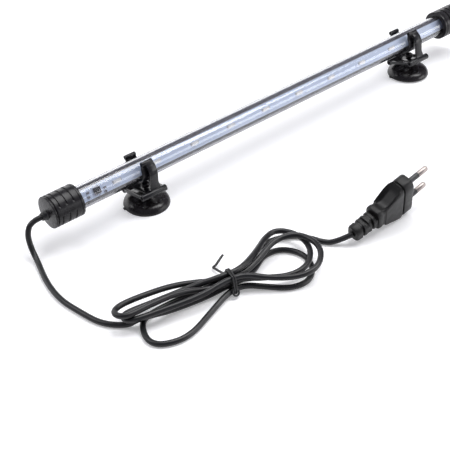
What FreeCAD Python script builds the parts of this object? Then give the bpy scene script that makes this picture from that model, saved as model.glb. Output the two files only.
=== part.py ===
"""Submersible aquarium tube light with suction-cup clips and a hanked mains lead.

Millimetres. X runs along the tube from the cord end to the far end, Y away from
the viewer and Z up. The origin is on the floor under the middle of the lamp.
"""
import FreeCAD, Part
import math
import os

import Sketcher
from FreeCAD import Placement, Rotation, Vector

# Sizes in millimetres and degrees, kept in the sheet
SIZES = [
    ("axis_y", 3.7), ("axis_height", 27.4),
    ("tube_radius", 8.0), ("tube_bore_radius", 7.0), ("tube_length", 380.9),
    ("cap_radius", 11.2), ("cap_length", 22.1), ("cap_reach", 195.45), ("cap_far_reach", 199.45),
    ("cap_groove_at", 1.2), ("cap_groove_width", 0.8), ("cap_groove_radius", 10.4),
    ("spigot_radius", 7.0), ("spigot_end", 6.0), ("seal_thickness", 1.0), ("seal_bore_radius", 6.0),
    ("rib_first", 4.2), ("rib_pitch", 5.2), ("rib_width", 1.4), ("rib_depth", 0.7), ("rib_smooth_angle", 32.0),
    ("lip_at", 19.3), ("lip_groove_width", 0.9), ("lip_groove_depth", 0.4),
    ("gland_length", 4.0), ("gland_root_radius", 3.5), ("gland_tip_radius", 2.7),
    ("gland_y", 2.5), ("gland_drop", 3.2),
    ("board_tilt", 62.0), ("tray_radius", 6.85), ("tray_wall", 1.05), ("tray_roof", 1.4), ("tray_length", 375.0),
    ("board_width", 8.1), ("board_thickness", 1.6), ("board_length", 371.0), ("board_hole_radius", 0.5),
    ("led_first", -142.75), ("led_pitch", 33.07), ("led_length", 5.7), ("led_width", 2.4), ("led_height", 0.9),
    ("joint_length", 0.7), ("joint_width", 2.0), ("joint_height", 0.4),
    ("chip_x", -158.9), ("chip_length", 4.9), ("chip_width", 3.9), ("chip_height", 1.5),
    ("leg_pitch", 1.27), ("leg_width", 0.42), ("leg_reach", 1.05), ("leg_height", 0.6),
    ("resistor_length", 1.3), ("resistor_width", 2.0), ("resistor_height", 0.55),
    ("wire_radius", 0.6), ("wire_length", 9.0),
    ("left_clip_x", -121.65), ("right_clip_x", 140.35), ("left_lean", 13.1), ("right_lean", 20.1),
    ("strap_clearance", 0.05), ("strap_thickness", 1.5), ("strap_width", 8.5), ("leg_thickness", 1.6),
    ("lip_radius", 12.0), ("lip_angle", 35.8), ("lip_bar_radius", 1.6), ("lip_bore_radius", 0.75),
    ("leg_width_across", 6.2), ("leg_shift", 1.6), ("leg_flare", 1.6),
    ("rod_y", 11.1), ("rod_drop", 15.4), ("rod_radius", 2.3), ("rod_bore_radius", 1.2), ("rod_length", 20.0),
    ("strut_width", 1.8), ("strut_height", 2.2), ("plate_thickness", 1.2), ("plate_hole_radius", 2.5),
    ("cup_radius", 16.3), ("cup_rim", 1.2), ("cup_height", 12.4), ("cup_hollow", 3.4), ("right_cup_lift", 1.9),
    ("cup_shift", 1.2), ("cup_tab_turn", 167.0),
    ("neck_radius", 1.6), ("knob_radius", 3.2), ("knob_top", 5.2),
    ("cord_radius", 1.9),
    ("plug_x", 3.16), ("plug_y", -124.11), ("plug_z", 18.34),
    ("plug_yaw", -0.75), ("plug_pitch", 13.7), ("plug_roll", 10.3),
    ("plug_tall", 32.8), ("plug_thick", 12.9), ("plug_body_length", 32.2), ("flange_length", 8.0),
    ("relief_length", 50.4), ("relief_rise", 1.6), ("pin_radius", 2.0), ("pin_length", 19.0), ("pin_sleeve_length", 10.0),
    ("pin_sleeve_radius", 2.0), ("pin_spacing", 18.6), ("pin_tip_spacing", 17.5),
    ("tie_wire_radius", 0.8),
]
LEDS = 9
RIBS = 3
LEGS_A_SIDE = 4
RELIEF_SLOTS = 4

# The hank, seen from above: s along the bundle from the tie, q across it, z up
HANK = [
    ("hank_x", -130.05), ("hank_y", -102.0), ("hank_turn", -13.94), ("tie_straight", 8.0),
    ("hank_in_s", -64.0), ("hank_in_q", -5.2), ("hank_out_s", 44.0), ("hank_out_q", 23.5),
]
# Each loop end: reach from the tie, middle, half width and height of its centreline
RIGHT_LOOPS = [(52.0, -3.6, 17.2, 1.9), (62.0, -3.6, 16.1, 11.6), (58.5, 7.5, 18.5, 6.9)]
LEFT_LOOPS = [(68.0, -20.8, 10.9, 1.9), (76.0, -5.8, 5.9, 6.6), (80.0, -5.5, 4.6, 11.4)]
# Where each pass of the cord lies in the tie: across and up
TIE_LANES = [(5.8, 3.7), (-6.8, 3.8), (-0.4, 4.2), (-8.6, 8.5), (9.6, 11.9), (-2.5, 8.7), (0.7, 12.5)]

# The free stretches: points of the cord's centreline from the gland to the hank, and on to the plug
LEAD_IN = [
    (-207.5, 8.0, 23.6), (-211.5, 8.0, 15.5), (-212.0, 4.0, 7.0), (-213.3, -6.5, 2.0),
    (-219.0, -26.0, 1.9), (-221.5, -45.0, 1.9), (-218.5, -62.5, 1.9), (-214.5, -78.5, 1.9),
    (-203.1, -89.2, 1.9),
]
LEAD_OUT = [(55.0, 23.0, 1.9), (64.5, 14.0, 1.9), (69.0, 7.6, 1.9), (75.5, 2.6, 2.4)]

doc = FreeCAD.newDocument("AquariumTubeLight")
sheet = doc.addObject("Spreadsheet::Sheet", "Dims")
DIM = {}
for row, (alias, value) in enumerate(SIZES + HANK, start=1):
    sheet.set(f"A{row}", alias)
    sheet.set(f"B{row}", str(value))
    sheet.setAlias(f"B{row}", alias)
    DIM[alias] = value
doc.recompute()
PIECES = []


def size(value):
    """A number, or the number that an alias stands for."""
    return DIM[value] if isinstance(value, str) else float(value)


def keep(piece, label):
    piece.Label = label
    PIECES.append(piece)
    return piece


def bind(obj, **expressions):
    for name, expression in expressions.items():
        obj.setExpression(name, expression)
    return obj


def lamp_place(x, rotation=Rotation()):
    """A place on the tube's axis."""
    return Placement(Vector(x, size("axis_y"), size("axis_height")), rotation)


# Sketches and bodies
def plane(body, role):
    return [feature for feature in body.Origin.OriginFeatures if feature.Role == role][0]


def sketch(body, name, role, offset=None):
    drawing = body.newObject("Sketcher::SketchObject", name)
    drawing.AttachmentSupport = [(plane(body, role), "")]
    drawing.MapMode = "FlatFace"
    if offset is not None:
        drawing.AttachmentOffset = offset
    return drawing


def fix_point(drawing, edge, axis, value):
    """Hold an edge's first point on an axis or at a distance from it."""
    number = size(value)
    if abs(number) < 1e-9:
        drawing.addConstraint(Sketcher.Constraint("PointOnObject", edge, 1, -2 if axis == "X" else -1))
        return
    index = drawing.addConstraint(Sketcher.Constraint("Distance" + axis, -1, 1, edge, 1, number))
    if isinstance(value, str):
        drawing.setExpression(f"Constraints[{index}]", f"Dims.{value}")


def outline(drawing, points, arcs=None):
    """A closed outline; arcs maps an edge number to a point that its arc passes."""
    arcs = arcs or {}
    spots = [Vector(size(a), size(b), 0) for a, b in points]
    first = drawing.GeometryCount
    for i, spot in enumerate(spots):
        following = spots[(i + 1) % len(spots)]
        if i in arcs:
            drawing.addGeometry(Part.Arc(spot, Vector(*arcs[i], 0), following), False)
        else:
            drawing.addGeometry(Part.LineSegment(spot, following), False)
    for i, (a, b) in enumerate(points):
        if i not in arcs:
            fix_point(drawing, first + i, "X", a)
            fix_point(drawing, first + i, "Y", b)


def circle(drawing, alias):
    index = drawing.addGeometry(Part.Circle(Vector(), Vector(0, 0, 1), size(alias)), False)
    drawing.addConstraint(Sketcher.Constraint("Coincident", index, 3, -1, 1))
    radius = drawing.addConstraint(Sketcher.Constraint("Radius", index, size(alias)))
    drawing.setExpression(f"Constraints[{radius}]", f"Dims.{alias}")


def turned_body(label, axis, points, arcs=None):
    """A body turned about X (H_Axis) or Z (V_Axis) from its half outline."""
    body = doc.addObject("PartDesign::Body", label)
    drawing = sketch(body, label + "_outline", "XZ_Plane")
    outline(drawing, points, arcs)
    turn = body.newObject("PartDesign::Revolution", label + "_turn")
    turn.Profile = drawing
    turn.ReferenceAxis = (drawing, [axis])
    turn.Angle = 360
    return body


# The clear tube and what it holds
def clear_tube():
    body = doc.addObject("PartDesign::Body", "ClearTube")
    drawing = sketch(body, "TubeSection", "YZ_Plane")
    circle(drawing, "tube_radius")
    circle(drawing, "tube_bore_radius")
    pad = body.newObject("PartDesign::Pad", "TubeLength")
    pad.Profile = drawing
    bind(pad, Length="Dims.tube_length")
    start = -size("cap_reach") + size("spigot_end") + size("seal_thickness")
    body.Placement = lamp_place(start)
    keep(body, "clear_tube")


def box(name, length, width, height):
    item = doc.addObject("Part::Box", name)
    return bind(item, Length=length, Width=width, Height=height)


def rod(name, radius, height):
    item = doc.addObject("Part::Cylinder", name)
    return bind(item, Radius=radius, Height=height)


def combine(kind, name, base, tool):
    item = doc.addObject(kind, name)
    item.Base = base
    item.Tool = tool
    return item


def gather(name, items):
    group = doc.addObject("Part::MultiFuse", name)
    group.Shapes = items
    return group


def board_place(x=0.0):
    """The board's own frame on the tube's axis: Z out of the board's face, Y up its width."""
    return lamp_place(x, Rotation(Vector(1, 0, 0), size("board_tilt")))


def led_tray():
    along = Rotation(Vector(0, 1, 0), 90)
    start = -size("tray_length") / 2 + 1.5
    outer = rod("TrayRound", "Dims.tray_radius", "Dims.tray_length")
    outer.Placement = Placement(Vector(start, 0, 0), along)
    inner = rod("TrayHollow", "Dims.tray_radius - Dims.tray_wall", "Dims.tray_length")
    inner.Placement = outer.Placement
    below = box("TrayBack", "Dims.tray_length", "4 * Dims.tray_radius", "2 * Dims.tray_radius")
    below.Placement.Base = Vector(start, -2 * size("tray_radius"), size("tray_roof") - 2 * size("tray_radius"))
    deeper = box("TrayRoom", "Dims.tray_length", "4 * Dims.tray_radius", "2 * Dims.tray_radius")
    deeper.Placement.Base = below.Placement.Base - Vector(0, 0, size("tray_wall"))
    shell = combine("Part::Common", "TrayShell", outer, below)
    room = combine("Part::Common", "TrayCore", inner, deeper)
    tray = combine("Part::Cut", "LedTray", shell, room)
    tray.Placement = board_place()
    keep(tray, "led_tray")


def led_board():
    plate = box("BoardPlate", "Dims.board_length", "Dims.board_width", "Dims.board_thickness")
    plate.Placement.Base = Vector(-size("board_length") / 2 + 1.5, -size("board_width") / 2, size("tray_roof"))
    hole = rod("BoardHole", "Dims.board_hole_radius", "4 * Dims.board_thickness")
    hole.Placement.Base = Vector(-126.85, -2.9, 0)
    board = combine("Part::Cut", "LedBoard", plate, hole)
    board.Placement = board_place()
    keep(board, "led_board")


def board_blocks(label, spots, length, width, height):
    """Small blocks on the board's face, each centred on its spot."""
    blocks = []
    face = size("tray_roof") + size("board_thickness")
    for i, (x, y) in enumerate(spots):
        block = box(f"{label}_{i + 1}", f"Dims.{length}", f"Dims.{width}", f"Dims.{height}")
        block.Placement.Base = Vector(x - size(length) / 2, y - size(width) / 2, face)
        blocks.append(block)
    if len(blocks) == 1:
        blocks[0].Placement = board_place().multiply(blocks[0].Placement)
        keep(blocks[0], label)
        return
    group = gather(label + "_group", blocks)
    group.Placement = board_place()
    keep(group, label)


def board_parts():
    rows = [size("led_first") + i * size("led_pitch") for i in range(LEDS)]
    board_blocks("leds", [(x, 0) for x in rows], "led_length", "led_width", "led_height")
    off = (size("led_length") + size("joint_length")) / 2
    ends = [(x + side * off, 0) for x in rows for side in (-1, 1)]
    board_blocks("led_solder_joints", ends, "joint_length", "joint_width", "joint_height")
    chip = [(size("chip_x"), 0)]
    board_blocks("driver_chip", chip, "chip_length", "chip_width", "chip_height")
    across = (size("chip_width") + size("leg_reach")) / 2
    first = size("chip_x") - size("leg_pitch") * (LEGS_A_SIDE - 1) / 2
    legs = [(first + i * size("leg_pitch"), side * across) for i in range(LEGS_A_SIDE) for side in (-1, 1)]
    board_blocks("chip_legs", legs, "leg_width", "leg_reach", "leg_height")
    spots = [(-152.9, -0.4), (-153.1, -3.0), (-165.8, 1.0), (-166.2, -1.9)]
    board_blocks("chip_resistors", spots, "resistor_width", "resistor_length", "resistor_height")


def supply_wires():
    wires = []
    start = -size("cap_reach") + size("spigot_end")
    lift = size("tray_roof") + size("board_thickness") + size("wire_radius")
    for i, y in enumerate((-1.6, 1.6)):
        wire = rod(f"SupplyWire{i + 1}", "Dims.wire_radius", "Dims.wire_length")
        wire.Placement = Placement(Vector(start, y, lift), Rotation(Vector(0, 1, 0), 90))
        wires.append(wire)
    pair = gather("SupplyWires", wires)
    pair.Placement = board_place()
    keep(pair, "supply_wires")


# End caps
def end_place(side):
    """The frame of a cap: X from its outer face into the tube."""
    turn = Rotation() if side < 0 else Rotation(Vector(0, 0, 1), 180)
    return lamp_place(-size("cap_reach") if side < 0 else size("cap_far_reach"), turn)


def end_cap(label, side, smooth_start):
    """The ribbed sleeve; its ribs stop at a smooth patch."""
    back = size("cap_groove_at") + size("cap_groove_width")
    lip = size("lip_at")
    lip_end = lip + size("lip_groove_width")
    low = size("cap_radius") - size("lip_groove_depth")
    points = [
        (back, "spigot_radius"), ("spigot_end", "spigot_radius"), ("spigot_end", "tube_radius"),
        ("cap_length", "tube_radius"), ("cap_length", "cap_radius"), (lip_end, "cap_radius"),
        (lip_end, low), (lip, low), (lip, "cap_radius"), (back, "cap_radius"),
    ]
    body = turned_body(label, "H_Axis", points)
    offset = Placement(Vector(), Rotation(Vector(1, 0, 0), smooth_start - 90))
    ribs = sketch(body, label + "_ribs", "XZ_Plane", offset)
    inner = size("cap_radius") - size("rib_depth")
    for i in range(RIBS):
        start = size("rib_first") + i * size("rib_pitch")
        end = start + size("rib_width")
        outline(ribs, [(start, inner), (end, inner), (end, 14.0), (start, 14.0)])
    groove = body.newObject("PartDesign::Groove", label + "_rib_grooves")
    groove.Profile = ribs
    groove.ReferenceAxis = (ribs, ["H_Axis"])
    groove.Angle = 360 - size("rib_smooth_angle")
    body.Placement = end_place(side)
    keep(body, label)


def end_plug(label, side):
    back = size("cap_groove_at") + size("cap_groove_width")
    points = [
        (0, 0), (0, "cap_radius"), ("cap_groove_at", "cap_radius"), ("cap_groove_at", "cap_groove_radius"),
        (back, "cap_groove_radius"), (back, "spigot_radius"), ("spigot_end", "spigot_radius"), ("spigot_end", 0),
    ]
    body = turned_body(label, "H_Axis", points)
    body.Placement = end_place(side)
    keep(body, label)


def tube_seal(label, side):
    ring = doc.addObject("PartDesign::Body", label)
    drawing = sketch(ring, label + "_section", "YZ_Plane")
    circle(drawing, "tube_radius")
    circle(drawing, "tube_bore_radius")
    pad = ring.newObject("PartDesign::Pad", label + "_pad")
    pad.Profile = drawing
    bind(pad, Length="Dims.seal_thickness")
    seat = end_place(side)
    ring.Placement = Placement(seat.multVec(Vector(size("spigot_end"), 0, 0)), seat.Rotation)
    keep(ring, label)


def cord_gland():
    cone = doc.addObject("Part::Cone", "CordGland")
    bind(cone, Radius1="Dims.gland_root_radius", Radius2="Dims.gland_tip_radius", Height="Dims.gland_length")
    base = Vector(-size("cap_reach"), size("axis_y") + size("gland_y"), size("axis_height") - size("gland_drop"))
    cone.Placement = Placement(base, Rotation(Vector(0, 1, 0), -90))
    keep(cone, "cord_gland")


# Clips and suction cups
def band(points, thickness, width):
    """A strip of even thickness along points in the YZ plane, centred on x = 0."""
    path = Part.makePolygon([Vector(0, y, z) for y, z in points])
    face = path.makeOffset2D(thickness / 2, 0, True, False, True)
    solid = face.extrude(Vector(width, 0, 0))
    solid.translate(Vector(-width / 2, 0, 0))
    return solid


def lip_point():
    angle = math.radians(size("lip_angle"))
    return size("lip_radius") * math.cos(angle), size("lip_radius") * math.sin(angle)


def strap_points():
    """The cradle that hugs the tube, from lip to lip round underneath."""
    radius = size("tube_radius") + size("strap_clearance") + size("strap_thickness") / 2
    y, z = lip_point()
    steps = 28
    low, high = math.radians(-198.0), math.radians(18.0)
    arc = [low + (high - low) * i / steps for i in range(steps + 1)]
    return [(-y, z)] + [(radius * math.cos(a), radius * math.sin(a)) for a in arc] + [(y, z)]


def leg_points(side):
    """The springy outer leg from a lip down to its rod."""
    y, z = lip_point()
    top = -size("rod_drop") + size("rod_radius")
    return [(side * a, b) for a, b in ((y, z), (12.2, 4.0), (13.2, 1.0), (13.3, -1.5), (12.5, -4.5),
                                       (11.8, -7.5), (11.3, -10.5), (size("rod_y"), top))]


def spring_leg(side):
    """A leg narrower than the lip, set off to one side, that widens where it meets the rod."""
    leg = band(leg_points(side), size("leg_thickness"), size("leg_width_across"))
    leg.translate(Vector(size("leg_shift"), 0, 0))
    edge = size("leg_shift") + size("leg_width_across") / 2
    outer = size("rod_y") + size("leg_thickness") / 2
    low = -size("rod_drop") + size("rod_radius") / 2
    wedge = Part.makePolygon([Vector(edge - 1, side * outer, -6.5), Vector(edge, side * outer, -6.5),
                              Vector(edge + size("leg_flare"), side * outer, low), Vector(edge - 1, side * outer, low),
                              Vector(edge - 1, side * outer, -6.5)])
    gusset = Part.Face(wedge).extrude(Vector(0, -side * size("leg_thickness"), 0))
    return leg.fuse(gusset)


def cross_piece(name, side):
    """A strut that joins the rods' ends."""
    strut = box(name, "Dims.strut_width", "2 * Dims.rod_y", "Dims.strut_height")
    x = side * (size("rod_length") - size("strut_width")) / 2 - size("strut_width") / 2
    strut.Placement.Base = Vector(x, -size("rod_y"), -size("rod_drop") - size("strut_height") / 2)
    return strut


def clip(label, x, lean):
    width = size("strap_width")
    strap = doc.addObject("Part::Feature", label + "_strap")
    strap.Shape = band(strap_points(), size("strap_thickness"), width)
    items = [strap, cross_piece(label + "_strut_a", -1), cross_piece(label + "_strut_b", 1)]
    lip_y, lip_z = lip_point()
    along = Rotation(Vector(0, 1, 0), 90)
    for side in (-1, 1):
        tag = f"{label}_{'near' if side < 0 else 'far'}"
        leg = doc.addObject("Part::Feature", tag + "_leg")
        leg.Shape = spring_leg(side)
        lip = rod(tag + "_lip", "Dims.lip_bar_radius", "Dims.strap_width")
        lip.Placement = Placement(Vector(-width / 2, side * lip_y, lip_z), along)
        bar = rod(tag + "_rod", "Dims.rod_radius", "Dims.rod_length")
        bar.Placement = Placement(Vector(-size("rod_length") / 2, side * size("rod_y"), -size("rod_drop")), along)
        items += [leg, lip, bar]
    plate = box(label + "_plate", "Dims.strap_width", "2 * Dims.rod_y", "Dims.plate_thickness")
    plate.Placement.Base = Vector(-width / 2, -size("rod_y"), -size("rod_drop") - size("plate_thickness") / 2)
    frame = gather(label + "_frame", items + [plate])
    bores = []
    for side in (-1, 1):
        bore = rod(f"{label}_bore_{side + 2}", "Dims.rod_bore_radius", "2 * Dims.rod_length")
        bore.Placement = Placement(Vector(-size("rod_length"), side * size("rod_y"), -size("rod_drop")), along)
        bores.append(bore)
    for side in (-1, 1):
        bore = rod(f"{label}_lip_bore_{side + 2}", "Dims.lip_bore_radius", "2 * Dims.strap_width")
        bore.Placement = Placement(Vector(-width, side * lip_y, lip_z), along)
        bores.append(bore)
    eye = rod(label + "_eye", "Dims.plate_hole_radius", "4 * Dims.plate_thickness")
    eye.Placement.Base = Vector(size("cup_shift"), 0, -size("rod_drop") - 2 * size("plate_thickness"))
    tube_room = rod(label + "_tube_room", "Dims.tube_radius + Dims.strap_clearance", "2 * Dims.strap_width")
    tube_room.Placement = Placement(Vector(-width, 0, 0), along)
    holes = gather(label + "_holes", bores + [eye, tube_room])
    whole = combine("Part::Cut", label + "_whole", frame, holes)
    whole.Placement = lamp_place(size(x), Rotation(Vector(1, 0, 0), -size(lean)))
    keep(whole, label)


def suction_cup(label, x, lean, lift):
    """A dome with a neck and a knob; it bends at the neck in the clip's eye."""
    hinge = size("cup_height")
    knob = size("knob_radius")
    top = hinge + size("knob_top")
    points = [
        (0, "cup_hollow"), (14.4, 0), ("cup_radius", 0), ("cup_radius", "cup_rim"), (12.2, 5.3),
        (3.2, 9.4), ("neck_radius", 9.8), ("neck_radius", hinge + 2.0), (knob - 0.2, hinge + 2.0),
        ("knob_radius", hinge + 3.0), (knob - 0.3, hinge + 4.2), (2.0, top - 0.2), (0, top),
    ]
    arcs = {0: (8.0, 2.5), 3: (14.7, 3.7), 4: (7.2, 6.9)}
    body = turned_body(label, "V_Axis", points, arcs)
    tab = sketch(body, label + "_tab_outline", "XY_Plane")
    outline(tab, [(15.2, -1.5), (17.3, -1.0), (17.3, 1.0), (15.2, 1.5)])
    pad = body.newObject("PartDesign::Pad", label + "_tab")
    pad.Profile = tab
    bind(pad, Length="Dims.cup_rim")
    angle = math.radians(size(lean))
    pivot = Vector(size(x) + size("cup_shift"), size("axis_y") - size("rod_drop") * math.sin(angle),
                   size("axis_height") - size("rod_drop") * math.cos(angle))
    turn = Rotation(Vector(1, 0, 0), -size(lift)).multiply(Rotation(Vector(0, 0, 1), size("cup_tab_turn")))
    body.Placement = Placement(pivot - turn.multVec(Vector(0, 0, hinge)), turn)
    keep(body, label)


# The cord
def pipe(edges, radius, label):
    """A round tube along joined edges."""
    path = Part.Wire(edges)
    start = edges[0].Curve.value(edges[0].FirstParameter)
    ahead = edges[0].tangentAt(edges[0].FirstParameter)
    ring = Part.Wire([Part.makeCircle(radius, start, ahead)])
    shell = Part.BRepOffsetAPI.MakePipeShell(path)
    shell.add(ring)
    shell.build()
    shell.makeSolid()
    solid = shell.shape()
    ideal = math.pi * radius ** 2 * path.Length
    print(f"{label}: length {path.Length:.1f}, volume {solid.Volume:.0f} against {ideal:.0f}")
    return solid


def rounded_path(points, label):
    """Straight runs joined by tangent arcs, each as large as its runs allow."""
    edges = []
    start = points[0]
    radii = []
    for before, corner, after in zip(points, points[1:], points[2:]):
        run_in, run_out = corner - before, after - corner
        turn = run_in.getAngle(run_out)
        cut = 0.45 * min(run_in.Length, run_out.Length)
        radii.append(cut / math.tan(turn / 2))
        back = (run_in * -1).normalize()
        ahead = Vector(run_out).normalize()
        first, last = corner + back * cut, corner + ahead * cut
        inward = (back + ahead).normalize()
        depth = cut / math.cos(back.getAngle(inward))
        middle = corner + inward * (depth - radii[-1])
        edges.append(Part.LineSegment(start, first).toShape())
        edges.append(Part.Arc(first, middle, last).toShape())
        start = last
    edges.append(Part.LineSegment(start, points[-1]).toShape())
    print(label, "radii", " ".join(f"{radius:.1f}" for radius in radii))
    return edges


def hank_frame():
    return Placement(Vector(size("hank_x"), size("hank_y"), 0), Rotation(Vector(0, 0, 1), size("hank_turn")))


def swing(start, end):
    """Two equal arcs between points, both of whose ends run along the bundle."""
    step = end - start
    sideways = Vector(0, step.y, step.z)
    off = sideways.Length
    if off < 1e-6:
        return [Part.LineSegment(start, end).toShape()]
    radius = (step.x ** 2 + off ** 2) / (4 * off)
    half = math.asin(abs(step.x) / 2 / radius) / 2
    sag = Vector(math.copysign(radius * math.sin(half), step.x), 0, 0)
    sag = sag + sideways.normalize() * (radius * (1 - math.cos(half)))
    middle = (start + end) * 0.5
    return [Part.Arc(start, start + sag, middle).toShape(), Part.Arc(middle, end - sag, end).toShape()]


def loop_end(side, loop, lane_out, lane_back):
    """From one lane in the tie out round a loop's end and back to the next lane."""
    reach, middle, half, height = loop
    x = side * (reach - half)
    tie = side * size("tie_straight")
    first = middle + side * half
    last = middle - side * half
    corner = half * math.sqrt(0.5)
    leave = Vector(x, first, height)
    arrive = Vector(x, last, height)
    tip = Vector(side * reach, middle, height)
    edges = swing(Vector(tie, *lane_out), leave)
    edges.append(Part.Arc(leave, Vector(x + side * corner, middle + side * corner, height), tip).toShape())
    edges.append(Part.Arc(tip, Vector(x + side * corner, middle - side * corner, height), arrive).toShape())
    edges += swing(arrive, Vector(tie, *lane_back))
    edges.append(Part.LineSegment(Vector(tie, *lane_back), Vector(-tie, *lane_back)).toShape())
    return edges


def hank_edges():
    low = size("cord_radius")
    tie = size("tie_straight")
    bare = 2 * low
    start = Vector(size("hank_in_s"), size("hank_in_q"), low)
    inside = start + Vector(bare, 0, 0)
    edges = [Part.LineSegment(start, inside).toShape()]
    edges += swing(inside, Vector(-tie, *TIE_LANES[0]))
    edges.append(Part.LineSegment(Vector(-tie, *TIE_LANES[0]), Vector(tie, *TIE_LANES[0])).toShape())
    for i, (right, left) in enumerate(zip(RIGHT_LOOPS, LEFT_LOOPS)):
        edges += loop_end(1, right, TIE_LANES[2 * i], TIE_LANES[2 * i + 1])
        edges += loop_end(-1, left, TIE_LANES[2 * i + 1], TIE_LANES[2 * i + 2])
    end = Vector(size("hank_out_s"), size("hank_out_q"), low)
    outside = end - Vector(bare, 0, 0)
    edges += swing(Vector(tie, *TIE_LANES[6]), outside)
    edges.append(Part.LineSegment(outside, end).toShape())
    return edges


def least_gap(edges, radius):
    """The least clear space between turns that are not neighbours along the cord."""
    spots = []
    travelled = 0.0
    for edge in edges:
        count = max(2, int(edge.Length / 1.5))
        for i in range(count):
            part = i / count
            at = edge.FirstParameter + part * (edge.LastParameter - edge.FirstParameter)
            spots.append((travelled + part * edge.Length, edge.valueAt(at)))
        travelled += edge.Length
    least = min(a.distanceToPoint(b) for i, (p, a) in enumerate(spots) for q, b in spots[i + 1:] if q - p > 14)
    return least - 2 * radius


def cord_hank():
    edges = hank_edges()
    radius = size("cord_radius")
    print(f"hank: least gap to itself {least_gap(edges, radius):.2f}")
    hank = doc.addObject("Part::Feature", "CordHank")
    hank.Shape = pipe(edges, radius, "hank")
    hank.Placement = hank_frame()
    keep(hank, "cord_hank")


def cord_lead_in():
    gland = Vector(-size("cap_far_reach"), size("axis_y") + size("gland_y"),
                   size("axis_height") - size("gland_drop"))
    meet = hank_frame().multVec(Vector(size("hank_in_s"), size("hank_in_q"), size("cord_radius")))
    points = [gland] + [Vector(*spot) for spot in LEAD_IN] + [meet]
    tube = doc.addObject("Part::Feature", "CordLeadIn")
    tube.Shape = pipe(rounded_path(points, "lead in"), size("cord_radius"), "lead in")
    keep(tube, "cord_lead_in")


def plug_place():
    turn = Rotation(Vector(0, 0, 1), size("plug_yaw"))
    turn = turn.multiply(Rotation(Vector(0, 1, 0), -size("plug_pitch")))
    turn = turn.multiply(Rotation(Vector(1, 0, 0), size("plug_roll")))
    return Placement(Vector(size("plug_x"), size("plug_y"), size("plug_z")), turn)


def cord_lead_out():
    meet = hank_frame().multVec(Vector(size("hank_out_s"), size("hank_out_q"), size("cord_radius")))
    rear = plug_place().multVec(Vector(-size("relief_length"), 0, size("relief_rise")))
    points = [meet] + [hank_frame().multVec(Vector(*spot)) for spot in LEAD_OUT] + [rear]
    tube = doc.addObject("Part::Feature", "CordLeadOut")
    tube.Shape = pipe(rounded_path(points, "lead out"), size("cord_radius"), "lead out")
    keep(tube, "cord_lead_out")


# The twist tie
def tie_hull():
    """The outermost lanes, in order round the bundle."""
    spots = sorted(TIE_LANES)
    rings = []
    for run in (spots, spots[::-1]):
        chain = []
        for spot in run:
            while len(chain) > 1 and bend(chain[-2], chain[-1], spot) <= 0:
                chain.pop()
            chain.append(spot)
        rings += chain[:-1]
    return rings


def bend(a, b, c):
    return (b[0] - a[0]) * (c[1] - b[1]) - (b[1] - a[1]) * (c[0] - b[0])


def twist_tie():
    wire = size("tie_wire_radius")
    reach = size("cord_radius") + wire + 0.1
    lanes = tie_hull()
    edges = []
    sides = []
    for a, b in zip(lanes, lanes[1:] + lanes[:1]):
        out = Vector(0, b[1] - a[1], a[0] - b[0]).normalize() * reach
        sides.append((Vector(0, *a) + out, Vector(0, *b) + out, out))
    for i, (start, end, out) in enumerate(sides):
        following = sides[(i + 1) % len(sides)]
        centre = end - out
        middle = centre + (out + following[2]).normalize() * reach
        edges.append(Part.LineSegment(start, end).toShape())
        edges.append(Part.Arc(end, middle, following[0]).toShape())
    shape = pipe(edges, wire, "tie")
    tail = [Vector(0, 10.2, 8.0), Vector(-2.6, 13.4, 6.4), Vector(-6.0, 15.6, 3.6)]
    end = [Vector(-5.6, 15.4, 3.8), Vector(-3.0, 17.4, 5.0), Vector(3.2, 20.4, 8.2)]
    for points in (tail, end):
        shape = shape.fuse(pipe(rounded_path(points, "tie tail"), wire, "tie tail"))
    tie = doc.addObject("Part::Feature", "TwistTie")
    tie.Shape = shape
    tie.Placement = hank_frame()
    keep(tie, "twist_tie")


# The plug
def plug_section(x, tall, thick, cut_y, cut_z, rise=0.0):
    """The plug's outline across: two broad faces, two narrow sides and softly cut corners."""
    y, z = thick / 2, tall / 2
    edges = []
    spots = []
    for sy, sz in ((1, 1), (-1, 1), (-1, -1), (1, -1)):
        upright = Vector(x, sy * y, sz * (z - cut_z) + rise)
        middle = Vector(x, sy * (y - 0.34 * cut_y), sz * (z - 0.34 * cut_z) + rise)
        level = Vector(x, sy * (y - cut_y), sz * z + rise)
        spots.append((upright, middle, level) if sy * sz > 0 else (level, middle, upright))
    for i, (first, middle, last) in enumerate(spots):
        edges.append(Part.Arc(first, middle, last).toShape())
        edges.append(Part.LineSegment(last, spots[(i + 1) % 4][0]).toShape())
    return Part.Wire(edges)


def plug_loft(*stations):
    return Part.makeLoft([plug_section(*station) for station in stations], True, True)


def finger_hollow(side):
    """The channel for a fingertip along a narrow side of the grip, which slopes down to the rear."""
    slope = math.radians(21.7)
    depth, radius = 2.6, 6.0
    start = Vector(-11.5, 0, side * (16.0 + radius - depth - 2.2 * math.tan(slope)))
    return Part.makeCylinder(radius, 14.0, start, Vector(-math.cos(slope), 0, -side * math.sin(slope)))


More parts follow.
